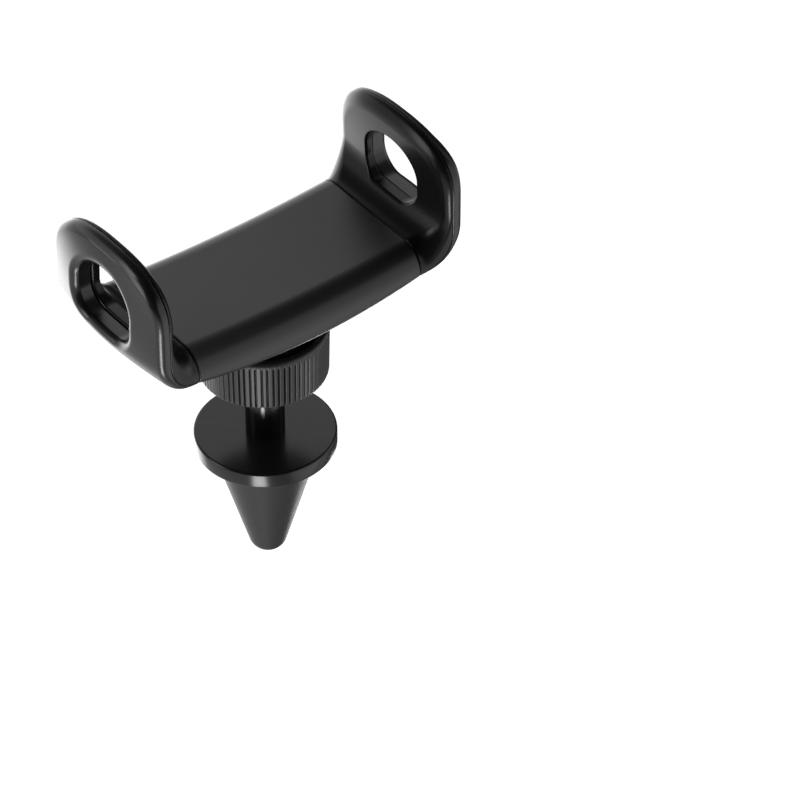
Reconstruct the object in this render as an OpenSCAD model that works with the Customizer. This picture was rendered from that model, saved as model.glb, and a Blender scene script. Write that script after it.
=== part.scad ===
// Car phone mount: a spring-loaded two-jaw cradle on a ball joint with a ribbed
// clamping nut, carried by a stem, a stop disc and a split cone that grips an
// air-vent louvre.
//
// Frame: the origin is the centre of the stop disc's vent-side face. +Z is the
// clip axis and points from the vent towards the phone, X runs from jaw to jaw
// and Y is the width of the cradle.

/* [Stop disc and stem] */
// Radius of the stop disc
disc_r = 14.1; // [12:0.1:16]
// Thickness of the stop disc
disc_t = 3.4; // [2.5:0.1:4]
// Radius of the stem below the nut
stem_r = 3.9; // [3.4:0.1:4.2]

/* [Ball joint] */
// Height of the ball's centre above the disc's vent-side face
ball_z = 24.4; // [24:0.1:25]
// Radius of the ball
ball_r = 7; // [6.8:0.1:7]
// Thickness of the friction seats between ball and socket
seat_t = 0.6; // [0.4:0.1:0.6]

/* [Ribbed nut] */
// Height of the nut's lower face
nut_z = 19; // [18.8:0.1:19.1]
// Height of the nut
nut_h = 11; // [10:0.1:11.2]
// Radius of the nut at its lower edge, over the ribs
nut_r_low = 12.3; // [11.8:0.1:12.5]
// Radius of the nut at its upper edge, over the ribs
nut_r_top = 12.9; // [12.5:0.1:13.2]
// Number of wide ribs around the nut
nut_ribs = 36; // [24:1:40]

/* [Cradle body] */
// Length of the centre sleeve between its two parting lines
sleeve_l = 51.7; // [50:0.1:54]
// Width of the sleeve
cradle_w = 32.4; // [32:0.1:34]
// Height of the sleeve's top at the parting lines
top_z = 44.8; // [44.7:0.1:45.4]
// Height of the belly at its lowest point
belly_z = 34.8; // [34.6:0.1:35]
// How far the belly rises from the middle to a parting line
belly_rise = 2.8; // [2.5:0.1:2.9]
// How far the top dips between the parting lines
top_dip = 1; // [0.2:0.1:1]
// Wall of the curved back cover
back_t = 1.3; // [1.1:0.1:1.3]

/* [Jaws] */
// Width of a jaw
jaw_w = 34.4; // [33:0.1:35]
// Distance from the middle to a jaw's inner face with the cradle closed
jaw_in = 31.9; // [31.5:0.1:32.2]
// Distance from the middle to a jaw's outer face at its rim
rim_x = 35.2; // [35.1:0.1:35.6]
// Distance from the middle to the fullest point of a jaw's outer face
jaw_out = 37.8; // [37:0.1:38.5]
// Height of the top of a jaw
jaw_top = 65.8; // [64:0.1:68]
// Height where the arched top of a jaw begins
arch_z = 54.7; // [54:0.1:56]
// Half width of the grip hole in a jaw
hole_w = 8.4; // [6:0.1:9]
// Height of the lower edge of the grip hole
hole_low = 46.9; // [46.8:0.1:48]
// Height of the top of the grip hole
hole_top = 60.3; // [57:0.1:60.5]
// How far each jaw slides out
travel = 15; // [8:1:15]

/* [Rack drive] */
// Gear module
gear_m = 0.7; // [0.7:0.1:0.7]
// Teeth on the synchronising pinion
pinion_teeth = 12; // [12:1:12]

/* [Vent clip] */
// Turn of the clip about its axis against the cradle
clip_turn = -38; // [-90:1:90]
// Radius of the cone where it meets the disc
cone_r = 10.8; // [10:0.1:11.2]
// Length of the cone below the disc
cone_l = 27.6; // [26:0.1:32]
// Radius of the cone's round tip
tip_r = 4; // [3.4:0.1:4.4]
// Gap between the two prongs for the louvre
louvre_gap = 1.8; // [1.4:0.1:2.2]
// Thickness of the rubber pad on a prong's flat side
pad_t = 0.9; // [0.7:0.1:1]

/* [Hidden] */

$fn = 96;
big = 200;              // oversize length for cutting solids
seam = 0.05;            // gap where two housings meet
half_l = sleeve_l / 2;
half_w = cradle_w / 2;
jaw_x = half_l + seam;  // where a jaw begins

// Radius of an arc with the given sagitta over the given half chord
function arc_r(half_chord, sagitta) = (half_chord * half_chord + sagitta * sagitta) / (2 * sagitta);
belly_r = arc_r(half_l, belly_rise);
dip_r = arc_r(half_l + 0.6, top_dip);
top_round = 4;          // rounding of the sleeve's upper long edges
low_round = 3;            // rounding of the sleeve's lower long edges

// Channel in the sleeve where the two rack arms slide
arm_low = 39.9;
arm_high = 42.4;
arm_gap = 0.15;         // clearance over and beside the arms
arm_outer = 13.6;       // outer side of an arm, from the middle
arm_reach = 18.5;       // how far an arm reaches past the middle
plug_l = 2;             // how far an arm is pressed into its jaw
press = 0.01;
cavity_w = 2 * (arm_outer + 0.3);
cavity_top = arm_high + arm_gap;

// Gear figures
pitch_r = gear_m * pinion_teeth / 2;
pitch = PI * gear_m;
pressure = 20;
backlash = 0.12;
rack_add = 0.45;        // short rack addendum keeps the small pinion from undercutting
rack_ded = 0.9;
pinion_add = 0.65;
pinion_ded = 0.65;
pin_r = 1;

// Jaw springs
spring_y = 9.5;
spring_r = 0.75;        // coil radius to the wire's centre
wire_r = 0.15;
post_x = 1;
post_r = 0.8;
groove_w = 2.4;
groove_h = 1.9;
groove_out = 17;
groove_in = post_x + post_r + travel + 0.2;

// Ball joint and its socket
cavity_r = ball_r + 0.05 + seat_t + 0.08;
neck_r = 3;
neck_z = 15.6;
collet_r = 9.6;
collet_low = ball_z - 4.6;
taper_z = ball_z - 1.8; // top of the taper that the nut presses on
taper = 1.3;
socket_top = 33.4;
socket_screw_r = 6.5;
boss_r = 10.8;

// Positions of the cover screws
cover_screw_at = [[-22.3, -9.5], [22.3, 9.5], [-14.5, 0], [14.5, 0]];

// Vent clip
cone_slope = (cone_r - tip_r) / (cone_l - tip_r);
prong_top = -0.8;
hinge_y = 3.6;
hinge_z = -2.2;
hinge_r = 0.8;
hub_x = 3.2;
hub_y = 4.6;
hub_low = -3.9;
clip_spring_y = 6.6;
pad_low = -23;
pad_high = -5.2;

black = [0.07, 0.07, 0.075];
satin = [0.12, 0.12, 0.125];
rubber = [0.05, 0.05, 0.05];
nylon = [0.2, 0.2, 0.21];
steel = [0.62, 0.63, 0.65];

// ---------------------------------------------------------------- helpers

// Round-ended point list: an elliptic arc from angle a0 to a1
function arc(c, rx, ry, a0, a1, n) =
    [for (i = [0:n]) let (a = a0 + (a1 - a0) * i / n) [c[0] + rx * cos(a), c[1] + ry * sin(a)]];

// Extrudes a side profile drawn in X and Z along the width
module side_extrude(width) {
    rotate([90, 0, 0]) linear_extrude(width, center = true) children();
}

// Extrudes a front outline drawn in Y and Z from x0 to x1
module front_extrude(x0, x1) {
    translate([x0, 0, 0]) rotate([90, 0, 90]) linear_extrude(x1 - x0) children();
}

// Square coil of wire: a tube swept along a helix about the X axis
module coil(length, coil_r, wire, turns) {
    steps = 12;
    sides = 6;
    count = turns * steps;
    rise = length / count;
    points = [for (i = [0:count]) for (j = [0:sides - 1])
        let (a = 360 * i / steps, b = 360 * j / sides, r = coil_r + wire * cos(b))
        [i * rise + wire * sin(b), r * cos(a), r * sin(a)]];
    walls = [for (i = [0:count - 1]) for (j = [0:sides - 1])
        let (k = (j + 1) % sides)
        [i * sides + j, i * sides + k, (i + 1) * sides + k, (i + 1) * sides + j]];
    start = [[for (j = [sides - 1:-1:0]) j]];
    finish = [[for (j = [0:sides - 1]) count * sides + j]];
    polyhedron(points, concat(walls, start, finish), convexity = 10);
}

// Pan-head screw, head up, with its seat at z = 0
module pan_screw(shank_r, length, head_r, head_h) {
    difference() {
        union() {
            translate([0, 0, -length]) cylinder(r = shank_r, h = length);
            cylinder(r = head_r, h = head_h);
        }
        for (a = [0, 90])
            rotate(a) translate([0, 0, head_h]) cube([1.3 * head_r, 0.35, 0.8 * head_h], center = true);
    }
}

// ---------------------------------------------------------------- vent clip

module vent_disc() {
    rim = 0.5;
    color(black)
    rotate_extrude()
        difference() {
            translate([stem_r - 0.9, 0]) square([disc_r - stem_r + 0.9, disc_t]);
            translate([disc_r - rim, disc_t - rim]) difference() {
                square(rim + 1);
                circle(r = rim);
            }
        }
}

module ball_stem() {
    shoulder = 1;
    color(black)
    difference() {
        union() {
            cylinder(r = stem_r - 0.9, h = disc_t);
            translate([0, 0, disc_t]) cylinder(r = stem_r, h = neck_z - disc_t - shoulder);
            translate([0, 0, neck_z - shoulder]) cylinder(r1 = stem_r, r2 = neck_r, h = shoulder);
            translate([0, 0, neck_z]) cylinder(r = neck_r, h = ball_z - neck_z);
            translate([0, 0, ball_z]) sphere(r = ball_r);
        }
        translate([0, 0, -1]) cylinder(r = hinge_r + 0.2, h = disc_t + 5);
    }
}

// Fixed bar under the disc that carries the two prong pins, with its screw boss
module clip_hub() {
    color(nylon)
    rotate(clip_turn)
    difference() {
        union() {
            translate([-hub_x, -hub_y, hub_low]) cube([2 * hub_x, 2 * hub_y, -hub_low]);
            cylinder(r = hinge_r + 0.2, h = disc_t + 3);
        }
        for (s = [-1, 1])
            translate([0, s * hinge_y, hinge_z]) rotate([0, 90, 0])
                cylinder(r = hinge_r, h = big, center = true);
    }
}

module clip_pins() {
    color(steel)
    rotate(clip_turn)
    for (s = [-1, 1])
        translate([0, s * hinge_y, hinge_z]) rotate([0, 90, 0])
            cylinder(r = hinge_r, h = 2 * hub_x + 3.2, center = true);
}

// Outer form of the clip: a cone with a ball tip, drawn as a half profile
module cone_body() {
    tip_z = -cone_l + tip_r;
    lean = atan(cone_slope);
    inside = 0.93 * tip_r;  // the flank ends just inside the ball
    rotate_extrude()
        intersection() {
            translate([0, -big]) square(big);
            union() {
                translate([0, tip_z]) circle(r = tip_r);
                polygon([[0, 0], [cone_r, 0],
                    [inside * cos(lean), tip_z - inside * sin(lean)], [0, tip_z - inside]]);
            }
        }
}

// One prong, on the +Y side of the louvre gap
module prong() {
    flat_y = louvre_gap / 2;
    difference() {
        intersection() {
            cone_body();
            translate([-big / 2, flat_y, -big]) cube([big, big, big + prong_top]);
        }
        // Pocket for the rubber pad
        pad_blank(flat_y - 1, pad_t + 1, 0.05);
        translate([-hub_x - 0.25, 0, hub_low - 0.6]) cube([2 * hub_x + 0.5, hub_y + 0.25, 10]);
        translate([0, hinge_y, hinge_z]) rotate([0, 90, 0])
            cylinder(r = hinge_r + 0.05, h = 2 * hub_x + 3.4, center = true);
        translate([0, clip_spring_y, -5]) cylinder(r = 1.3, h = 10);
    }
}

// Tapered slab from y0 to y0 + thick in the form of a pad, grown all round
module pad_blank(y0, thick, grow) {
    low = pad_low - grow;
    high = pad_high + grow;
    width = [for (z = [low, high]) 0.8 * (cone_r + cone_slope * z) + grow];
    rotate([90, 0, 0]) translate([0, 0, -y0 - thick]) linear_extrude(thick)
        polygon([[-width[0], low], [width[0], low], [width[1], high], [-width[1], high]]);
}

// Ribbed rubber pad let into the flat side of a prong
module prong_pad() {
    grooves = 5;
    step = (pad_high - pad_low) / (grooves + 1);
    y0 = louvre_gap / 2;
    difference() {
        pad_blank(y0, pad_t, 0);
        for (i = [1:grooves])
            translate([0, y0, pad_low + i * step]) rotate([0, 90, 0])
                cylinder(r = 0.35, h = big, center = true, $fn = 24);
    }
}

module clip_spring() {
    free = 4.1;
    translate([0, clip_spring_y, -4.6]) rotate([0, -90, 0]) coil(free, 0.85, 0.16, 5);
}

module front_prong() { color(black) rotate(clip_turn + 180) prong(); }
module rear_prong() { color(black) rotate(clip_turn) prong(); }
module front_prong_pad() { color(rubber) rotate(clip_turn + 180) prong_pad(); }
module rear_prong_pad() { color(rubber) rotate(clip_turn) prong_pad(); }
module front_clip_spring() { color(steel) rotate(clip_turn + 180) clip_spring(); }
module rear_clip_spring() { color(steel) rotate(clip_turn) clip_spring(); }

// ---------------------------------------------------------------- ball joint

// Band of a thin spherical shell, between two angles measured from the downward axis
module seat_band(a0, a1) {
    inner = ball_r + 0.05;
    outer = inner + seat_t;
    steps = 12;
    translate([0, 0, ball_z])
    rotate_extrude()
        intersection() {
            difference() {
                circle(r = outer);
                circle(r = inner);
            }
            polygon(concat([[0, 0]],
                [for (i = [0:steps]) let (a = a0 + (a1 - a0) * i / steps)
                    [2 * outer * sin(a), -2 * outer * cos(a)]]));
        }
}

module lower_ball_seat() { color(nylon) seat_band(57, 80); }
module upper_ball_seat() { color(nylon) seat_band(98, 180); }

// Split collet that holds the ball; the nut squeezes its fingers
module ball_socket() {
    fingers = 6;
    finger_slot = 1;
    groove = 0.35;
    color(nylon)
    difference() {
        union() {
            translate([0, 0, taper_z]) cylinder(r = collet_r, h = socket_top - taper_z);
            translate([0, 0, collet_low]) cylinder(r1 = collet_r - taper, r2 = collet_r, h = taper_z - collet_low);
        }
        translate([0, 0, ball_z]) sphere(r = cavity_r);
        for (i = [0:fingers - 1])
            rotate(i * 360 / fingers + 15)
                translate([0, -finger_slot / 2, collet_low - 1]) cube([big, finger_slot, 9]);
        // Thread grooves where the nut runs
        for (z = [24:1.2:28])
            translate([0, 0, z]) rotate_extrude() translate([collet_r, 0]) circle(r = groove, $fn = 24);
        for (i = [0:2])
            rotate(i * 120 + 90) translate([socket_screw_r, 0, socket_top - 3.6]) cylinder(r = 0.8, h = 10);
    }
}

module socket_screws() {
    color(steel)
    for (i = [0:2])
        rotate(i * 120 + 90) translate([socket_screw_r, 0, belly_z + back_t])
            pan_screw(0.78, belly_z + back_t - socket_top + 3.4, 1.5, 1);
}

module knurled_nut() {
    bore_r = collet_r + 0.08;
    mouth_r = nut_r_top - 1.5;
    lip_r = 6.8;
    floor_z = collet_low - 0.1;
    rib_h = 0.45;
    chamfer = 1;
    color(satin)
    union() {
        rotate_extrude()
            polygon([[lip_r, nut_z], [nut_r_low - rib_h, nut_z],
                [nut_r_top - rib_h, nut_z + nut_h - chamfer], [nut_r_top, nut_z + nut_h - chamfer],
                [nut_r_top - 0.6, nut_z + nut_h], [mouth_r, nut_z + nut_h],
                [mouth_r, nut_z + nut_h - 1.2], [bore_r, nut_z + nut_h - 1.2],
                [bore_r, taper_z], [bore_r - taper, collet_low],
                [bore_r - taper, floor_z], [lip_r, floor_z]]);
        rib_lean = atan((nut_r_top - nut_r_low) / nut_h);
        for (i = [0:nut_ribs - 1])
            rotate(i * 360 / nut_ribs)
                translate([nut_r_low - rib_h, 0, nut_z]) rotate([0, rib_lean, 0])
                    translate([-0.3, -0.5, 0.05]) cube([rib_h + 0.25, 1, nut_h - chamfer]);
    }
}

// ---------------------------------------------------------------- cradle body

// Cylinder across the cradle whose lowest line lies at the given height over the belly
module belly_cylinder(depth) {
    translate([0, 0, belly_z + belly_r]) rotate([90, 0, 0])
        cylinder(r = belly_r - depth, h = big, center = true, $fn = 720);
}

// Solid outer form of the sleeve's belly, with rounded lower edges
module belly_solid() {
    translate([0, 0, belly_z + belly_r])
    rotate([90, 0, 0])
    rotate([0, 0, -90 - 15])
    rotate_extrude(angle = 30, $fn = 720)
        translate([belly_r, 0])
            union() {
                translate([-30, -half_w]) square([30 - low_round, cradle_w]);
                translate([-low_round - 0.01, -half_w + low_round])
                    square([low_round + 0.01, cradle_w - 2 * low_round]);
                for (s = [-1, 1])
                    translate([-low_round, s * (half_w - low_round)]) circle(r = low_round);
            }
}

// Upper limit of the sleeve: rounded long edges and a shallow lengthways dip
module top_solid() {
    difference() {
        front_extrude(-half_l, half_l)
            union() {
                translate([-half_w, 0]) square([cradle_w, top_z - top_round]);
                translate([-half_w + top_round, 0]) square([cradle_w - 2 * top_round, top_z]);
                for (s = [-1, 1])
                    translate([s * (half_w - top_round), top_z - top_round]) circle(r = top_round);
            }
        translate([0, 0, top_z - top_dip + dip_r]) rotate([90, 0, 0])
            cylinder(r = dip_r, h = big, center = true, $fn = 720);
    }
}

module sleeve_solid() {
    intersection() {
        belly_solid();
        top_solid();
    }
}

module front_cover() {
    boss_w = 2;
    color(satin)
    difference() {
        union() {
            difference() {
                intersection() {
                    sleeve_solid();
                    belly_cylinder(back_t + seam);
                }
                translate([-half_l - 1, -cavity_w / 2, 0]) cube([sleeve_l + 2, cavity_w, cavity_top]);
            }
            // Screw bosses that reach down to the back cover
            for (p = cover_screw_at)
                translate([p[0], p[1], belly_top(abs(p[0]) + boss_w)])
                    cylinder(r = boss_w, h = cavity_top - belly_top(abs(p[0]) + boss_w) + 0.3);
        }
        for (p = cover_screw_at)
            translate([p[0], p[1], 0]) cylinder(r = 0.8, h = cavity_top);
        cylinder(r = pin_r + 0.01, h = pin_top);
    }
}

// Height of the back cover's inner face at a distance from the middle
function belly_top(x) = belly_z + belly_r - sqrt(belly_r * belly_r - x * x) + back_t + seam;
pin_top = cavity_top + 0.65;

module back_cover() {
    color(black)
    difference() {
        union() {
            difference() {
                sleeve_solid();
                belly_cylinder(back_t);
            }
            translate([0, 0, socket_top]) cylinder(r = boss_r, h = belly_z + 1 - socket_top);
            // Boss under the pinion
            translate([0, 0, belly_z + 0.5]) cylinder(r = 2.2, h = arm_low - belly_z - 0.5);
            // Pads that the spring posts stand on
            for (s = [-1, 1])
                translate([s * post_x, s * spring_y, belly_z + 0.5]) cylinder(r = 1.8, h = 2);
        }
        translate([0, 0, belly_z + 0.6]) cylinder(r = pin_r + 0.01, h = 10);
        // Holes and flat seats for the socket screws
        for (i = [0:2])
            rotate(i * 120 + 90) translate([socket_screw_r, 0, 0]) {
                cylinder(r = 0.85, h = big);
                translate([0, 0, belly_z + back_t]) cylinder(r = 1.7, h = big);
            }
        for (s = [-1, 1])
            translate([s * post_x, s * spring_y, belly_z + 0.6]) cylinder(r = post_r + 0.01, h = 10);
        for (p = cover_screw_at) translate([p[0], p[1], 0]) {
            cylinder(r = 0.85, h = big);
            cylinder(r = 1.7, h = belly_top(p[0]) - 0.75);
        }
    }
}

module cover_screws() {
    color(steel)
    for (p = cover_screw_at)
        translate([p[0], p[1], belly_top(p[0]) - 0.75]) rotate([180, 0, 0])
            pan_screw(0.78, 3.2, 1.5, 0.6);
}

// ---------------------------------------------------------------- rack drive

// Involute outline of a gear's teeth
function involute(base, a) = [base * (cos(a) + a * PI / 180 * sin(a)), base * (sin(a) - a * PI / 180 * cos(a))];
function turned(p, a) = [p[0] * cos(a) - p[1] * sin(a), p[0] * sin(a) + p[1] * cos(a)];

module pinion_outline() {
    base = pitch_r * cos(pressure);
    tip = pitch_r + pinion_add;
    root = pitch_r - pinion_ded;
    roll_tip = sqrt(pow(tip / base, 2) - 1) * 180 / PI;
    roll_pitch = tan(pressure) * 180 / PI;
    pitch_turn = roll_pitch - pressure;
    half_tooth = 90 / pinion_teeth - backlash / pitch_r * 90 / PI;
    steps = 6;
    flank = [for (i = [0:steps]) turned(involute(base, roll_tip * i / steps), -half_tooth - pitch_turn)];
    union() {
        circle(r = root);
        for (t = [0:pinion_teeth - 1])
            rotate(t * 360 / pinion_teeth)
                polygon(concat([[0, 0], [root * 0.98 * cos(half_tooth + pitch_turn),
                        -root * 0.98 * sin(half_tooth + pitch_turn)]],
                    flank,
                    [for (i = [steps:-1:0]) [flank[i][0], -flank[i][1]]],
                    [[root * 0.98 * cos(half_tooth + pitch_turn),
                        root * 0.98 * sin(half_tooth + pitch_turn)]]));
    }
}

module sync_pinion() {
    color(nylon)
    translate([0, 0, arm_low + 0.1])
    linear_extrude(arm_high - arm_low - 0.2)
        difference() {
            pinion_outline();
            circle(r = pin_r + 0.05);
        }
}

module pinion_pin() {
    color(steel) translate([0, 0, belly_z + 0.6]) cylinder(r = pin_r, h = pin_top - belly_z - 0.7);
}

module spring_posts() {
    color(steel)
    for (s = [-1, 1])
        translate([s * post_x, s * spring_y, belly_z + 0.6])
            cylinder(r = post_r, h = arm_low + groove_h - 0.15 - belly_z - 0.6);
}

// ---------------------------------------------------------------- jaws

// Front outline of a jaw: straight sides under a full arch
module jaw_outline(inset) {
    w = jaw_half - inset;
    rise = jaw_top - inset - arch_z;
    low = belly_z + belly_rise;
    corner = low_round + 0.8;
    polygon(concat(
        arc([w - corner, low + low_round], corner, low_round, -90, 0, 6),
        [for (i = [0:36]) let (a = 5 * i)
            [w * sign(cos(a)) * pow(abs(cos(a)), arch_power), arch_z + rise * pow(sin(a), arch_power)]],
        arc([-w + corner, low + low_round], corner, low_round, 180, 270, 6)));
}

// Plan of a jaw: as wide as the sleeve at the parting line, then flaring to its full width
module jaw_plan() {
    flare = 7;
    edge = [for (i = [0:8]) let (t = i / 8)
        [jaw_x + flare * t, half_w + (jaw_half - half_w) * t * t * (3 - 2 * t)]];
    linear_extrude(big)
        polygon(concat(edge, [[jaw_out + 1, jaw_half], [jaw_out + 1, -jaw_half]],
            [for (i = [8:-1:0]) [edge[i][0], -edge[i][1]]]));
}

// Grip hole: rounded below, arched above
module hole_outline(grow) {
    corner = 4.6;
    w = hole_w + grow;
    arch = 6.2;
    polygon(concat(
        arc([w - corner, hole_low - grow + corner], corner, corner, -90, 0, 8),
        arc([0, hole_top - arch], w, arch + grow, 0, 180, 24),
        arc([-w + corner, hole_low - grow + corner], corner, corner, 180, 270, 8)));
}

jaw_half = jaw_w / 2;
arch_power = 0.8;       // below 1 the arch is fuller than an ellipse
lean = 0.6;             // how far a jaw's inner face leans in at the top
floor_round = jaw_in - jaw_x;
heel_r = 9.2;           // outer radius where a jaw turns up from the belly
heel = [rim_x - heel_r, belly_z + belly_rise + heel_r];
split_x = rim_x - back_t;   // plane between a jaw's inner part and its shell
swell = jaw_out - rim_x;

// Inner surface of a jaw: floor, fillet and upright face
function inner_line() = concat(
    [[jaw_x, top_z]],
    arc([jaw_x, top_z + floor_round], floor_round, floor_round, -80, 0, 8),
    [[jaw_in - lean, jaw_top + 1]]);

// Line of the heel, rising from the belly into the upright, at a depth under the outer surface
function heel_line(depth, upright) = concat(
    [[jaw_x, belly_z + belly_rise + depth]],
    arc(heel, upright - heel[0], heel_r - depth, -90, 0, 12),
    [[upright, jaw_top + 1]]);

// Domed outer form of a jaw, with a bevel round its rim
module jaw_dome() {
    across_r = arc_r(jaw_half, swell);
    along_r = arc_r(14.5, swell);
    bevel_x = split_x - 0.4;
    intersection() {
        translate([jaw_out - across_r, 0, 0]) cylinder(r = across_r, h = big, $fn = 360);
        translate([jaw_out - along_r, 0, 51.3]) rotate([90, 0, 0]) cylinder(r = along_r, h = big, center = true);
        hull() {
            front_extrude(half_l, bevel_x) jaw_outline(0);
            front_extrude(jaw_out, jaw_out + 0.1) jaw_outline(3.6);
        }
    }
}

// Region in X and Z between two lines that both run from the parting line up the jaw
module between(inner, outer) {
    count = len(outer);
    polygon(concat(inner, [for (i = [count - 1:-1:0]) outer[i]]));
}

// Outer shell of the jaw on the +X side, domed around the bevelled grip hole
module jaw_back() {
    difference() {
        intersection() {
            side_extrude(jaw_w) between(heel_line(back_t + seam, split_x), heel_line(0, jaw_out));
            front_extrude(jaw_x, jaw_out + 1) jaw_outline(0);
            jaw_plan();
            union() {
                jaw_dome();
                translate([half_l, -jaw_half, 0]) cube([6, jaw_w, top_z]);
            }
        }
        front_extrude(half_l, jaw_out + 5) hole_outline(0);
        hull() {
            front_extrude(rim_x + 0.6, rim_x + 0.7) hole_outline(0);
            front_extrude(jaw_out + 0.4, jaw_out + 0.5) hole_outline(1.4);
        }
    }
}

// Straight arm with a rack along one side and a groove below for the return spring
module rack() {
    length = arm_reach + half_l + plug_l;
    teeth_end = 4;
    tip_half = pitch / 4 - backlash / 2 - rack_add * tan(pressure);
    root_half = pitch / 4 - backlash / 2 + rack_ded * tan(pressure);
    root_y = -pitch_r - rack_ded;
    first = -floor((arm_reach - 1) / pitch) - 0.5;
    last = floor(teeth_end / pitch) + 0.5;
    crest_y = -pitch_r + rack_add;
    difference() {
        translate([0, 0, arm_low]) linear_extrude(arm_high - arm_low)
            polygon(concat(
                [[-arm_reach, root_y], [-arm_reach, -arm_outer],
                    [length - arm_reach, -arm_outer], [length - arm_reach, root_y]],
                [for (i = [last:-1:first]) for (p = [[root_half, root_y], [tip_half, crest_y],
                    [-tip_half, crest_y], [-root_half, root_y]]) [i * pitch + p[0], p[1]]]));
        translate([-groove_in, -spring_y - groove_w / 2, arm_low - 1])
            cube([groove_in + groove_out, groove_w, groove_h + 1]);
    }
}

// Inner part of the jaw on the +X side: floor, fillet and upright face, with a pocket for its rack
module jaw() {
    difference() {
        intersection() {
            side_extrude(jaw_w) between(inner_line(), heel_line(back_t + seam, split_x));
            front_extrude(jaw_x, jaw_out) jaw_outline(0);
            jaw_plan();
        }
        front_extrude(half_l, jaw_out + 5) hole_outline(-0.4);
        translate([half_l - 1, -arm_outer - press, arm_low - press])
            cube([1 + plug_l + press, arm_outer - pitch_r - rack_ded + 2 * press, arm_high - arm_low + 2 * press]);
    }
}

// Extension spring of the jaw on the +X side, in its arm's groove
module jaw_spring() {
    start = -post_x + post_r + 0.35;
    translate([start, -spring_y, arm_low + groove_h / 2])
        coil(groove_out - 0.2 - start, spring_r, wire_r, 20);
}

module right_jaw() { color(satin) jaw(); }
module left_jaw() { color(satin) rotate(180) jaw(); }
module right_rack() { color(nylon) rack(); }
module left_rack() { color(nylon) rotate(180) rack(); }
module right_jaw_back() { color(black) jaw_back(); }
module left_jaw_back() { color(black) rotate(180) jaw_back(); }
module right_spring() { color(steel) jaw_spring(); }
module left_spring() { color(steel) rotate(180) jaw_spring(); }

vent_disc();
ball_stem();
clip_hub();
clip_pins();
front_prong();
rear_prong();
front_prong_pad();
rear_prong_pad();
front_clip_spring();
rear_clip_spring();
lower_ball_seat();
upper_ball_seat();
ball_socket();
socket_screws();
knurled_nut();
back_cover();
front_cover();
cover_screws();
sync_pinion();
pinion_pin();
spring_posts();
left_jaw();
right_jaw();
left_jaw_back();
right_jaw_back();
left_rack();
right_rack();
left_spring();
right_spring();
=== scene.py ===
import math
import bpy
import numpy as np
from mathutils import Matrix, Vector


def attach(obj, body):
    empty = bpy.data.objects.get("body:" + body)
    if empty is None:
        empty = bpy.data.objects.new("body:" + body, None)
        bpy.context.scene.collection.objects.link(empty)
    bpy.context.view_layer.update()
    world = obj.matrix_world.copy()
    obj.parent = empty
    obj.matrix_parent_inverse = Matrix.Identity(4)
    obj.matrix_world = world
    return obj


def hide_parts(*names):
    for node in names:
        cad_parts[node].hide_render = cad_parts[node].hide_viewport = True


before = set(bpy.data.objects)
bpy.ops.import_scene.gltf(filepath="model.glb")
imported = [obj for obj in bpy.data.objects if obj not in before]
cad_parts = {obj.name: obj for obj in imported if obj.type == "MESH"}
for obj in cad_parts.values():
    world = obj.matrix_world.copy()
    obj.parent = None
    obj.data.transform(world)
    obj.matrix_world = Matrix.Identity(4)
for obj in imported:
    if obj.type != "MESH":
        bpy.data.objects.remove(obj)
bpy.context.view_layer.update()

MM = 0.001

# ------------------------------------------------------------------ sizes, in millimetres
GRID = 0.32    # cell of the surface nets
JAW_GRID = GRID * 0.75
PART_R = 0.22                         # rounding of the edges where two pieces part

# Sleeve
HALF = 25.85                          # from the middle to a parting line
WIDE = 16.15                          # half width
TOP_Z, TOP_RISE = 43.8, 1.0           # top in the middle, and its rise to a parting line
LOW_Z, LOW_RISE = 35.45, 2.7          # the same for the lower side edge
TOP_R, LOW_R = 5.4, 1.7               # rounding of the upper and lower side edges
BELLY_DROP = 0.6                      # how much lower the belly is across its middle
CAVITY_W, CAVITY_TOP, CAVITY_R = 13.9, 42.55, 3.4
END_GAP = 0.03                        # from a cover's end to the parting line
BACK_T, EDGE_T = 1.35, 0.55           # back cover, and the same at its side edges
SEAM, SEAM_R = 0.015, 0.1             # gap and rounding at the seam between the covers
BOSS_R, BOSS_LOW, BOSS_TOP = 10.8, 33.42, 36
SCREW_AT = ((-22.3, -9.5), (22.3, 9.5), (-14.5, 0), (14.5, 0))
POCKET_R, POCKET_TOP, POCKET_RISE = 1.75, 35.42, 2.8

# Jaw on the +X side
JAW_W, FLARE_L = 17.17, 7             # half width, and the length over which it is reached
ARCH_Z, ARCH_H, ARCH_N = 54.7, 11.05, 2.5
JAW_IN, SPLIT_X, RIM_OUT, SWELL = 31.5, 32.85, 35.0, 2.7
SWELL_Z, SWELL_H = 51.2, 12.7         # middle and half height of the swollen outer face
HEEL_R, HEEL_SLOPE, HEEL_SWELL = 9.3, 0.03, 0.2
FILLET_R, FLOOR_SLOPE = 5.9, 0.062
LEAN, LEAN_Z = 0.044, 50              # slope of the inner face, and where it passes JAW_IN
FULL, FULL_W, FULL_Z, FULL_H = 0.5, 16.5, 53, 12.5
RIM_R = 1.2                           # rounding of the rim at half height
JAW_GAP = 0.03                        # between the inner part and its shell
HOLE_W, HOLE_LOW, HOLE_R = 8.4, 46.9, 4.6
HOLE_ARCH_Z, HOLE_ARCH_H = 54.1, 6.2
HOLE_STEP = 0.5                       # how much smaller the hole is in the inner part

# Vent clip
CONE_R, CONE_L, TIP_R = 10.8, 27.6, 4.0
PRONG_GAP, PRONG_TOP, PRONG_R = 0.92, 0.8, 0.3   # half gap, distance to the disc, rounding
CLIP_TURN = math.radians(-38)

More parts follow.
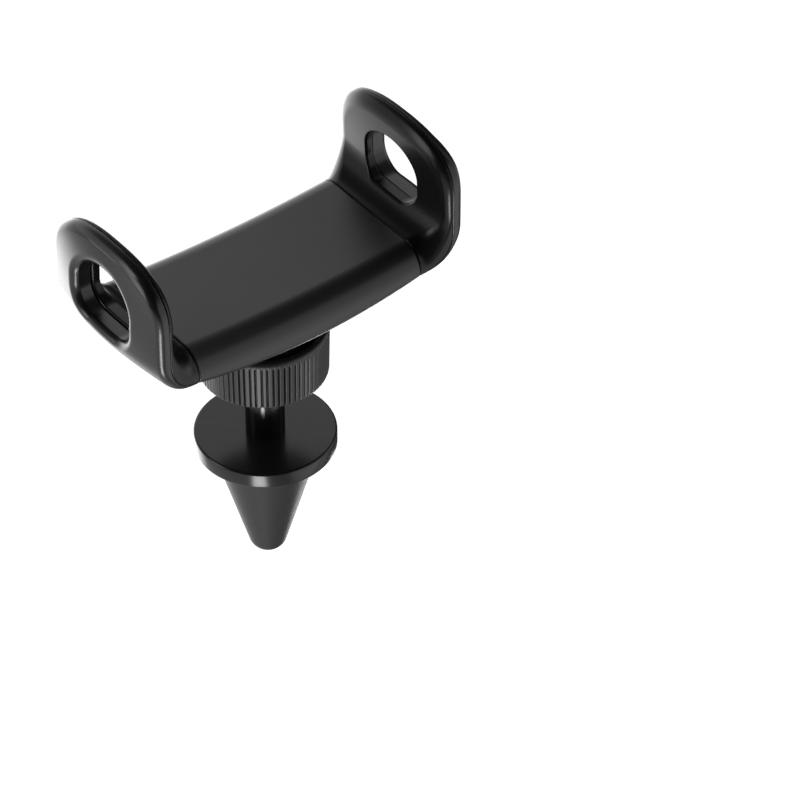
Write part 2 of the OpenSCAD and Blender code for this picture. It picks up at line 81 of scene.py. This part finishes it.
# Stop disc, and the stem with its ball
CORE_R, DISC_R, DISC_T = 3.0, 14.1, 3.4
STEM_R, STEM_TOP, NECK_Z = 3.9, 14.5, 15.7
BALL_R, BALL_Z = 7.0, 24.4
BORE_R, BORE_TOP = 1.0, 7.1
AXIS_R = 0.05                         # stands for the axis itself

# Nut
NUT_Z, NUT_H, RIBS = 19.0, 11.0, 36
NUT_TOP = NUT_Z + NUT_H
NUT_R, NUT_FLARE = 12.7, 0.2          # radius at the lower end, and what the upper end adds
MOUTH_R, THREAD_R = 11.4, 9.75
LIP_R, LIP_T = 6.8, 0.7
TAPER_R, TAPER_TOP = 8.45, 22.6
GROOVE, GROOVE_AT = 0.85, (0.27, 0.73)   # depth of a groove, and the places within a pitch
GROOVE_IN = 11.5                      # only faces outside this radius are grooved


# ------------------------------------------------------------------ distance fields
def rmax(a, b, r):
    """Intersection of two distance fields with its edge rounded to radius r."""
    return np.minimum(np.maximum(a, b), -r) + np.hypot(np.maximum(a + r, 0), np.maximum(b + r, 0))


def smooth(t):
    """Soft step from 0 to 1 as t goes from 0 to 1."""
    t = np.clip(t, 0, 1)
    return t * t * (3 - 2 * t)


def blend(a, b, t):
    return a + (b - a) * smooth(t)


def arch(y, z, a, z0, b, n=2.0):
    """Straight sides at a up to z0, then half a superellipse that rises by b."""
    p, q = np.abs(y) / a, np.maximum(z - z0, 0) / b
    k = np.maximum((p ** n + q ** n) ** (1 / n), 1e-6)
    slope = k ** (1 - n) * np.hypot(p ** (n - 1) / a, q ** (n - 1) / b)
    return np.where(z > z0, (k - 1) / np.maximum(slope, 1e-4), np.abs(y) - a)


def z_top(x):
    return TOP_Z + TOP_RISE * (x / HALF) ** 2


def z_low(x):
    return LOW_Z + LOW_RISE * (x / HALF) ** 2


def belly(x, y):
    """Lower face of the sleeve, slightly full across its middle."""
    full = smooth((14.5 - np.abs(y)) / 5) * smooth((HALF - np.abs(x)) / 3.5)
    return z_low(x) - BELLY_DROP * full


def bar(x, y, z):
    """Outer form of the sleeve, without its ends."""
    side = np.abs(y) - WIDE
    return rmax(rmax(z - z_top(x), side, TOP_R), belly(x, y) - z, LOW_R)


def shell_t(y):
    """Thickness of the back cover or jaw shell: its seam is tucked under the rounded edge."""
    return blend(EDGE_T, BACK_T, (WIDE - 0.5 - np.abs(y)) / 2)


def front_cover(x, y, z):
    f = rmax(bar(x, y, z), np.abs(x) - HALF + END_GAP, PART_R)
    f = rmax(f, z_low(x) + shell_t(y) + SEAM - z, SEAM_R)
    cavity = rmax(np.abs(y) - CAVITY_W, z - CAVITY_TOP, CAVITY_R)
    return np.maximum(f, -cavity)


def back_cover(x, y, z):
    f = rmax(bar(x, y, z) + SEAM, np.abs(x) - HALF + END_GAP, PART_R)
    f = rmax(f, z - z_low(x) - shell_t(y), SEAM_R)
    boss = np.maximum(rmax(np.hypot(x, y) - BOSS_R, BOSS_LOW - z, 0.3), z - BOSS_TOP)
    f = np.minimum(f, boss)
    for px, py in SCREW_AT:
        top = POCKET_TOP + POCKET_RISE * (px / HALF) ** 2
        pocket = np.maximum(np.hypot(x - px, y - py) - POCKET_R, z - top)
        f = rmax(f, -pocket, 0.1)
    return f


def heel_z(x):
    return z_low(HALF) + HEEL_SLOPE * (x - HALF)


def jaw_side(x, y, z):
    """Outline of a jaw seen along X, as wide as the sleeve where the two meet."""
    w = blend(WIDE, JAW_W, (x - HALF) / FLARE_L)
    return arch(y, z, w, ARCH_Z, ARCH_H - JAW_W + w, ARCH_N)


def crown(y, z):
    """0 at the rim of a jaw, 1 where its outer face is fullest."""
    across = np.clip(1 - np.abs(y / JAW_W) ** 1.9, 0, 1)
    return across * np.clip(1 - np.abs((z - SWELL_Z) / SWELL_H) ** 1.92, 0, 1)


def jaw_skin(x, y, z, depth):
    """Surface between a jaw's inner part and its shell, or one that far inside it."""
    return rmax(heel_z(x) + depth + shell_t(y) - z, x - SPLIT_X + depth, HEEL_R - BACK_T - depth)


def jaw_outer(x, y, z):
    swell = crown(y, z)
    return rmax(heel_z(x) - HEEL_SWELL * swell - z, x - RIM_OUT - SWELL * swell, HEEL_R)


def jaw_inner(x, y, z):
    """Floor and inner face of a jaw; the inner face is slightly full in its middle."""
    floor = z_top(HALF) + FLOOR_SLOPE * (x - HALF)
    full = np.clip(1 - (y / FULL_W) ** 2, 0, 1) * np.clip(1 - ((z - FULL_Z) / FULL_H) ** 2, 0, 1)
    return -rmax(floor - z, x - JAW_IN + LEAN * (z - LEAN_Z) + FULL * full, FILLET_R)


def hole(y, z):
    return rmax(arch(y, z, HOLE_W, HOLE_ARCH_Z, HOLE_ARCH_H), HOLE_LOW - z, HOLE_R)


def jaw_form(x, y, z):
    """Whole jaw before it is parted, without its hole.

    Its edges are rounder beside the sleeve, at its foot and round its arch.
    """
    side = jaw_side(x, y, z)
    r_in = blend(TOP_R, RIM_R, (x - 26) / 7.5) + 0.6 * smooth((z - 54) / 6)
    r_out = blend(RIM_R, LOW_R, (46 - z) / 5) + 0.9 * smooth((z - 60) / 5)
    f = np.maximum(rmax(jaw_inner(x, y, z), side, r_in), rmax(side, jaw_outer(x, y, z), r_out))
    return rmax(f, HALF + 2 * END_GAP - x, 0.2)


def jaw_front(x, y, z):
    f = rmax(jaw_form(x, y, z), jaw_skin(x, y, z, JAW_GAP), PART_R)
    return rmax(f, -hole(y, z) - HOLE_STEP, 0.4)


def jaw_back(x, y, z):
    """The edge of the hole is much rounder on the outer face than inside."""
    f = rmax(jaw_form(x, y, z), -jaw_skin(x, y, z, 0), PART_R)
    edge = 0.2 + 1.7 * smooth((x - RIM_OUT + 0.5) / 1.2)
    return rmax(f, -hole(y, z), edge)


def cone(x, y, z):
    """Cone that runs smoothly into its round tip, in its own turned frame."""
    height = CONE_L - TIP_R
    angle = math.acos(TIP_R / math.hypot(CONE_R, height)) - math.atan2(height, CONE_R)
    r = np.hypot(x, y)
    side = (r - (CONE_R + math.tan(angle) * z)) * math.cos(angle)
    ball = np.sqrt(r * r + (z + height) ** 2) - TIP_R
    return np.where(z > -height - TIP_R * math.sin(angle), side, ball)


def prong(x, y, z):
    f = rmax(cone(x, y, z), PRONG_GAP - y, PRONG_R)
    return rmax(f, z + PRONG_TOP, PRONG_R)


# ------------------------------------------------------------------ meshing
def crossings(v, inside, active):
    """Mean place of the surface on the edges of each active cell, in parts of the cell."""
    cells = [slice(None, -1), slice(1, None)]
    spot = np.zeros(active.shape + (3,))
    hits = np.zeros(active.shape)
    for axis in range(3):
        b, c = [k for k in range(3) if k != axis]
        for i in (0, 1):
            for j in (0, 1):
                s0, s1 = [None] * 3, [None] * 3
                s0[axis], s1[axis] = cells
                s0[b] = s1[b] = cells[i]
                s0[c] = s1[c] = cells[j]
                v0, v1 = v[tuple(s0)], v[tuple(s1)]
                cross = inside[tuple(s0)] != inside[tuple(s1)]
                spot[..., axis] += np.where(cross, v0 / np.where(cross, v0 - v1, 1), 0)
                spot[..., b] += i * cross
                spot[..., c] += j * cross
                hits += cross
    return spot[active] / hits[active][:, None]


def gradient(field, points, h=0.01):
    g = np.empty_like(points)
    for k in range(3):
        d = np.zeros(3)
        d[k] = h
        g[:, k] = (field(*(points + d).T) - field(*(points - d).T)) / (2 * h)
    return g


def net_quads(inside, index):
    """One quad round each edge of the grid that passes through the surface."""
    quads = []
    for axis in range(3):
        b, c = (axis + 1) % 3, (axis + 2) % 3
        s0, s1 = [slice(1, -1)] * 3, [slice(1, -1)] * 3
        s0[axis], s1[axis] = slice(None, -1), slice(1, None)
        a0, a1 = inside[tuple(s0)], inside[tuple(s1)]
        for through, order in ((a0 & ~a1, 1), (~a0 & a1, -1)):
            at = np.argwhere(through)
            if not len(at):
                continue
            ring = []
            for db, dc in ((0, 0), (1, 0), (1, 1), (0, 1)):
                q = at.copy()
                q[:, b] += db
                q[:, c] += dc
                ring.append(index[tuple(q.T)])
            quads.append(np.stack(ring, 1)[:, ::order])
    return np.concatenate(quads)


def net(field, low, high, step):
    """Surface net of field = 0 in the box from low to high, in millimetres.

    It returns points, unit normals and quads. The loop moves the points onto the surface.
    """
    low, high = np.array(low, float), np.array(high, float)
    count = np.ceil((high - low) / step).astype(int) + 1
    axes = [low[i] + step * np.arange(count[i]) for i in range(3)]
    v = field(*np.meshgrid(*axes, indexing="ij"))
    inside = v < 0
    cells = [slice(None, -1), slice(1, None)]
    corners = [(i, j, k) for i in cells for j in cells for k in cells]
    total = sum(inside[corner].astype(int) for corner in corners)
    active = (total > 0) & (total < len(corners))
    index = np.full(active.shape, -1)
    index[active] = np.arange(active.sum())
    p = low + step * (np.argwhere(active) + crossings(v, inside, active))
    for _ in range(7):
        g = gradient(field, p)
        size = np.maximum((g * g).sum(1), 0.05)
        move = g * (field(*p.T) / size)[:, None]
        length = np.linalg.norm(move, axis=1, keepdims=True)
        p = p - move * np.minimum(1, 0.4 * step / np.maximum(length, 1e-9))
    g = gradient(field, p)
    normals = g / np.maximum(np.linalg.norm(g, axis=1, keepdims=True), 1e-9)
    return p, normals, net_quads(inside, index)


def add(name, points, faces, normals, body, stands_for, material):
    """A mesh object from points in millimetres, riding on a CAD body."""
    mesh = bpy.data.meshes.new(name)
    mesh.from_pydata((np.asarray(points) * MM).tolist(), [], [list(map(int, f)) for f in faces])
    mesh.validate()
    mesh.shade_smooth()
    if normals is not None:
        mesh.normals_split_custom_set_from_vertices(np.asarray(normals).tolist())
    obj = bpy.data.objects.new(name, mesh)
    bpy.context.scene.collection.objects.link(obj)
    mesh.materials.append(material)
    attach(obj, body)
    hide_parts(*stands_for)


def turned(p, angle):
    """Points or normals turned about Z."""
    c, s = math.cos(angle), math.sin(angle)
    return np.stack([c * p[:, 0] - s * p[:, 1], s * p[:, 0] + c * p[:, 1], p[:, 2]], 1)


def lathe(profile, count, radius=None):
    """Closed ring of a profile in r and z; radius(r, z, angle) may reshape it."""
    angles = 2 * math.pi * np.arange(count) / count
    r = np.array([p[0] for p in profile])[:, None]
    z = np.array([p[1] for p in profile])[:, None]
    rr = r + 0 * angles if radius is None else radius(r, z, angles[None, :])
    points = np.stack([rr * np.cos(angles), rr * np.sin(angles), z + 0 * angles], -1).reshape(-1, 3)
    rows = len(profile)
    i, j = np.meshgrid(np.arange(rows), np.arange(count), indexing="ij")
    i2, j2 = (i + 1) % rows, (j + 1) % count
    faces = np.stack([i * count + j, i * count + j2, i2 * count + j2, i2 * count + j], -1)
    return points, faces.reshape(-1, 4)


def rounded(corners, steps=5):
    """Profile with each corner (r, z, radius) rounded; it runs anticlockwise in r and z."""
    out = []
    for k, (x, y, radius) in enumerate(corners):
        p = Vector((x, y))
        if radius == 0:
            out.append(tuple(p))
            continue
        a = (Vector(corners[k - 1][:2]) - p).normalized()
        b = (Vector(corners[(k + 1) % len(corners)][:2]) - p).normalized()
        half = a.angle(b) / 2
        reach = radius / math.tan(half)
        centre = p + (a + b).normalized() * (radius / math.sin(half))
        start, end = p + a * reach - centre, p + b * reach - centre
        total = start.angle_signed(end)
        for s in range(steps + 1):
            v = start.copy()
            v.rotate(Matrix.Rotation(-total * s / steps, 2))
            out.append(tuple(centre + v))
    return out


# ------------------------------------------------------------------ materials
def map_range(tree, value, limits):
    """Map Range node; the limits are from-low, from-high, to-low and to-high."""
    node = tree.nodes.new("ShaderNodeMapRange")
    for key, limit in zip(("From Min", "From Max", "To Min", "To Max"), limits):
        node.inputs[key].default_value = limit
    tree.links.new(value, node.inputs["Value"])
    return node


def noise(tree, where, scale, detail):
    """Noise in the object's own space."""
    node = tree.nodes.new("ShaderNodeTexNoise")
    node.inputs["Scale"].default_value = scale
    node.inputs["Detail"].default_value = detail
    tree.links.new(where.outputs["Object"], node.inputs["Vector"])
    return node.outputs["Fac"]


def plastic(name, colour, rough, ior=1.48):
    """Moulded surface with a painted highlight on its sharp edges (a paler colour there), a fine grain
    and uneven gloss.
    """
    material = bpy.data.materials.new(name)
    material.use_nodes = True
    tree = material.node_tree
    shader = tree.nodes["Principled BSDF"]
    shape = tree.nodes.new("ShaderNodeNewGeometry")
    # Painted highlight: where the surface is pointy (sharp convex edges) the base colour turns paler,
    # standing in for light glinting on the edges
    painted_edge_highlight = map_range(tree, shape.outputs["Pointiness"], (0.53, 0.62, 0.0, 0.35))
    tint = tree.nodes.new("ShaderNodeMix")
    tint.data_type = "RGBA"
    tint.inputs[6].default_value = (*colour, 1)
    tint.inputs[7].default_value = (*[min(1, 1.8 * c + 0.01) for c in colour], 1)
    tree.links.new(painted_edge_highlight.outputs["Result"], tint.inputs[0])
    tree.links.new(tint.outputs[2], shader.inputs["Base Color"])
    shader.inputs["IOR"].default_value = ior
    where = tree.nodes.new("ShaderNodeTexCoord")
    bump = tree.nodes.new("ShaderNodeBump")
    bump.inputs["Strength"].default_value = 0.02
    bump.inputs["Distance"].default_value = 0.0001
    tree.links.new(noise(tree, where, 9000, 3), bump.inputs["Height"])
    tree.links.new(bump.outputs["Normal"], shader.inputs["Normal"])
    gloss = map_range(tree, noise(tree, where, 60, 4), (0, 1, rough - 0.04, rough + 0.04))
    tree.links.new(gloss.outputs["Result"], shader.inputs["Roughness"])
    return material


SATIN = plastic("satin_black", (0.012, 0.012, 0.0125), 0.34)
INNER = plastic("inner_black", (0.006, 0.006, 0.0065), 0.26, 1.33)
JAW = plastic("jaw_black", (0.01, 0.01, 0.0105), 0.27)
MATTE = plastic("matte_black", (0.012, 0.012, 0.0125), 0.42)
GLOSS = plastic("gloss_black", (0.006, 0.006, 0.006), 0.17)
DISC = plastic("disc_black", (0.01, 0.01, 0.0105), 0.2, 1.4)
RIBBED = plastic("ribbed_black", (0.012, 0.012, 0.0125), 0.46, 1.52)
RUBBER = plastic("soft_black", (0.012, 0.012, 0.0125), 0.46, 1.38)
NYLON = plastic("dark_nylon", (0.1, 0.1, 0.1), 0.45)
STEEL = plastic("steel", (0.6, 0.6, 0.61), 0.3)
STEEL.node_tree.nodes["Principled BSDF"].inputs["Metallic"].default_value = 1

# The pieces that are drawn from the CAD itself
for material, names in (
        (MATTE, ("ball_socket",)),
        (NYLON, ("clip_hub", "lower_ball_seat", "upper_ball_seat", "sync_pinion",
                 "left_rack", "right_rack")),
        (STEEL, ("clip_pins", "front_clip_spring", "rear_clip_spring", "socket_screws",
                 "cover_screws", "pinion_pin", "spring_posts", "left_spring", "right_spring")),
        (RUBBER, ("front_prong_pad", "rear_prong_pad"))):
    for name in names:
        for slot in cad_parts[name].material_slots:
            slot.material = material


# ------------------------------------------------------------------ pieces
def add_sleeve():
    p, n, f = net(front_cover, (-26.5, -17.2, 34), (26.5, 17.2, 46), GRID)
    add("cover_front", p, f, n, "cradle", ["front_cover"], SATIN)
    p, n, f = net(back_cover, (-26.5, -17.2, 32.8), (26.5, 17.2, 41), GRID)
    add("cover_back", p, f, n, "cradle", ["back_cover"], SATIN)


def add_jaws(form, x_high, piece, node, material):
    """Right and left jaw part; the left one is the right one turned half round."""
    p, n, f = net(form, (25.4, -17.9, 36.6), (x_high, 17.9, 66.8), JAW_GRID)
    for side, angle in (("right", 0), ("left", math.pi)):
        add(side + piece, turned(p, angle), f, turned(n, angle), side + "_jaw", [side + node], material)


def add_cone():
    p, n, f = net(prong, (-11.5, 0.3, -28.2), (11.5, 11.5, 0), GRID)
    for side, angle in (("rear", CLIP_TURN), ("front", CLIP_TURN + math.pi)):
        add(side + "_half_cone", turned(p, angle), f, turned(n, angle),
            side + "_prong", [side + "_prong"], RUBBER)


def add_disc():
    """The points near the edges of the flat faces keep their shading flat."""
    inside, outside = CORE_R + 0.1, DISC_R - 0.6
    profile = rounded([(CORE_R, 0, 0), (inside, 0, 0), (outside, 0, 0), (DISC_R, 0, 0.35),
                       (DISC_R, DISC_T, 0.4), (outside, DISC_T, 0), (inside, DISC_T, 0),
                       (CORE_R, DISC_T, 0)])
    p, f = lathe(profile, 160)
    add("stop_disc", p, f, None, "base", ["vent_disc"], DISC)


def ribs(r, z, angle):
    """Cuts two narrow grooves per pitch into the outer face of the nut."""
    turn = (angle * RIBS / (2 * math.pi)) % 1
    nearest = np.minimum(*[np.abs(turn - at) for at in GROOVE_AT])
    cut = 1 - smooth((nearest - 0.045) / 0.055)
    span = smooth((z - NUT_Z + 0.1) / 0.3) * smooth((NUT_TOP - 1.15 - z) / 0.4)
    return r - GROOVE * smooth((r - GROOVE_IN) / 0.4) * cut * span


def add_nut():
    base = [(LIP_R, NUT_Z), (NUT_R - 0.3, NUT_Z), (NUT_R - 0.1, NUT_Z + 0.12)]
    flank = [(NUT_R + NUT_FLARE * t, NUT_Z + 0.4 + (NUT_H - 1.6) * t) for t in np.linspace(0, 1, 24)]
    mouth = [(NUT_R + NUT_FLARE, NUT_TOP - 0.7), (NUT_R, NUT_TOP - 0.2), (NUT_R - 0.35, NUT_TOP),
             (MOUTH_R + 0.2, NUT_TOP), (MOUTH_R, NUT_TOP - 0.2), (MOUTH_R, NUT_TOP - 1.2)]
    inner = [(THREAD_R, NUT_TOP - 1.3), (THREAD_R, TAPER_TOP), (TAPER_R, NUT_Z + LIP_T + 0.1),
             (TAPER_R, NUT_Z + LIP_T), (LIP_R, NUT_Z + LIP_T)]
    p, f = lathe(base + flank + mouth + inner, RIBS * 24, ribs)
    add("ribbed_nut", p, f, None, "nut", ["knurled_nut"], RIBBED)


def add_stem():
    turns = np.linspace(math.asin(CORE_R / BALL_R), math.pi - 0.02, 40)
    stem = [(BORE_R, 0), (CORE_R, 0), (CORE_R, DISC_T), (STEM_R, DISC_T), (STEM_R, DISC_T + 0.1),
            (STEM_R, STEM_TOP), (STEM_R - 0.02, STEM_TOP + 0.15), (STEM_R - 0.1, STEM_TOP + 0.4),
            (CORE_R + 0.1, NECK_Z - 0.2), (CORE_R, NECK_Z)]
    ball = [(BALL_R * math.sin(t), BALL_Z - BALL_R * math.cos(t)) for t in turns]
    bore = [(AXIS_R, BALL_Z + BALL_R), (AXIS_R, BORE_TOP), (BORE_R, BORE_TOP)]
    p, f = lathe(stem + ball + bore, 96)
    add("stem_with_ball", p, f, None, "base", ["ball_stem"], GLOSS)


add_sleeve()
add_jaws(jaw_front, 34.9, "_jaw_inner", "_jaw", INNER)
add_jaws(jaw_back, 38.6, "_jaw_outer", "_jaw_back", JAW)
add_cone()
add_disc()
add_nut()
add_stem()

# ------------------------------------------------------------------ floor
bpy.ops.mesh.primitive_plane_add(size=8, location=(0, 0, -0.5))
floor = bpy.context.object
floor.name = "floor"
white = bpy.data.materials.new("floor")
white.use_nodes = True
paint = white.node_tree.nodes["Principled BSDF"]
paint.inputs["Base Color"].default_value = (0.9, 0.9, 0.9, 1)
paint.inputs["Roughness"].default_value = 0.9
paint.inputs["Emission Color"].default_value = (1, 1, 1, 1)
paint.inputs["Emission Strength"].default_value = 0.85
floor.data.materials.append(white)
floor.visible_glossy = False
floor.visible_diffuse = False

# ------------------------------------------------------------------ light
THETA, RISE = math.radians(37.61), math.radians(40.47)    # where the camera stands
back = Vector((-math.sin(THETA) * math.cos(RISE), -math.cos(THETA) * math.cos(RISE), math.sin(RISE)))
right = Vector((0, 0, 1)).cross(back).normalized()
up = back.cross(right)
away = Vector((-back.x, -back.y, 0)).normalized()

# What reflections see: a white backdrop and table, dark above and on the camera's side,
# with bright and dark patches on top of that
world = bpy.data.worlds.new("studio")
bpy.context.scene.world = world
world.use_nodes = True
tree = world.node_tree
where = tree.nodes.new("ShaderNodeTexCoord")


def toward(direction, low, high, at_low, at_high):
    """Soft step of the world's brightness with the cosine of the angle to a direction."""
    dot = tree.nodes.new("ShaderNodeVectorMath")
    dot.operation = "DOT_PRODUCT"
    dot.inputs[1].default_value = direction
    tree.links.new(where.outputs["Generated"], dot.inputs[0])
    step = map_range(tree, dot.outputs["Value"], (low, high, at_low, at_high))
    step.interpolation_type = "SMOOTHSTEP"
    return step.outputs["Result"]


def combine(operation, a, b):
    node = tree.nodes.new("ShaderNodeMath")
    node.operation = operation
    tree.links.new(a, node.inputs[0])
    tree.links.new(b, node.inputs[1])
    return node.outputs["Value"]


sky = combine("MULTIPLY", toward((0, 0, 1), 0.55, 0.92, 1.0, 0.03), toward(away, -0.2, 0.5, 0.03, 1.4))
table = combine("MULTIPLY", toward((0, 0, 1), -0.25, 0.0, 0.8, 0.0),
                toward(-right, -0.7, 0.7, 0.5, 1.2))
glow = combine("MAXIMUM", sky, table)

# Bright patches: direction, cosine at the outer and inner edge, and brightness
for direction, low, high, bright in (
        ((0.46, -0.87, 0.15), 0.8, 0.95, 1.0),
        ((0.46, -0.8, -0.4), 0.8, 0.96, 1.35),
        (-back - 0.75 * right + 0.25 * up, 0.76, 0.95, 4.0)):
    glow = combine("MAXIMUM", glow, toward(Vector(direction).normalized(), low, high, 0.0, bright))

# Dark patches, written alike, with the share of light that is left
for direction, low, high, left in (
        (-back + 0.38 * (0.8 * right - 0.6 * up), 0.82, 0.94, 0.08),
        ((0.85, 0.51, 0.1), 0.86, 0.97, 0.06),
        ((0.9, 0.25, 0.3), 0.8, 0.93, 0.06),
        ((-0.33, 0.6, 0.73), 0.86, 0.97, 0.15),
        ((0.85, 0.1, -0.55), 0.86, 0.97, 0.45)):
    glow = combine("MULTIPLY", glow, toward(Vector(direction).normalized(), low, high, 1.0, left))

background = tree.nodes["Background"]
tree.links.new(glow, background.inputs["Strength"])
background.inputs["Color"].default_value = (1, 1, 1, 1)
bpy.context.scene.view_settings.view_transform = "Standard"


def softbox(name, direction, distance, size, power):
    """Area light that faces a point 30 mm above the underside of the stop disc."""
    light = bpy.data.lights.new(name, "AREA")
    light.shape = "RECTANGLE"
    light.size, light.size_y = size
    light.energy = power
    box = bpy.data.objects.new(name, light)
    d = Vector(direction).normalized()
    place = Matrix.Translation(d * distance + Vector((0, 0, 0.03)))
    box.matrix_world = place @ d.to_track_quat("Z", "Y").to_matrix().to_4x4()
    box.visible_camera = False
    bpy.context.scene.collection.objects.link(box)


softbox("low_card", (-0.55, -0.52, -0.65), 0.5, (0.13, 0.2), 1.15)
softbox("edge_card", (0.52, 0.12, -0.83), 0.16, (0.04, 0.04), 0.022)
softbox("left_card", (-0.8, 0.3, 0.25), 0.6, (0.25, 0.4), 1.2)

# ------------------------------------------------------------------ camera
cam = bpy.data.cameras.new("camera")
cam.lens, cam.sensor_width = 198.95, 36
cam.clip_end = 20
camera = bpy.data.objects.new("camera", cam)
bpy.context.scene.collection.objects.link(camera)
turn = Matrix((right, up, back)).transposed().to_4x4()
camera.matrix_world = Matrix.Translation((-0.37825, -0.53413, 0.56842)) @ turn
bpy.context.scene.camera = camera

bpy.context.view_layer.update()
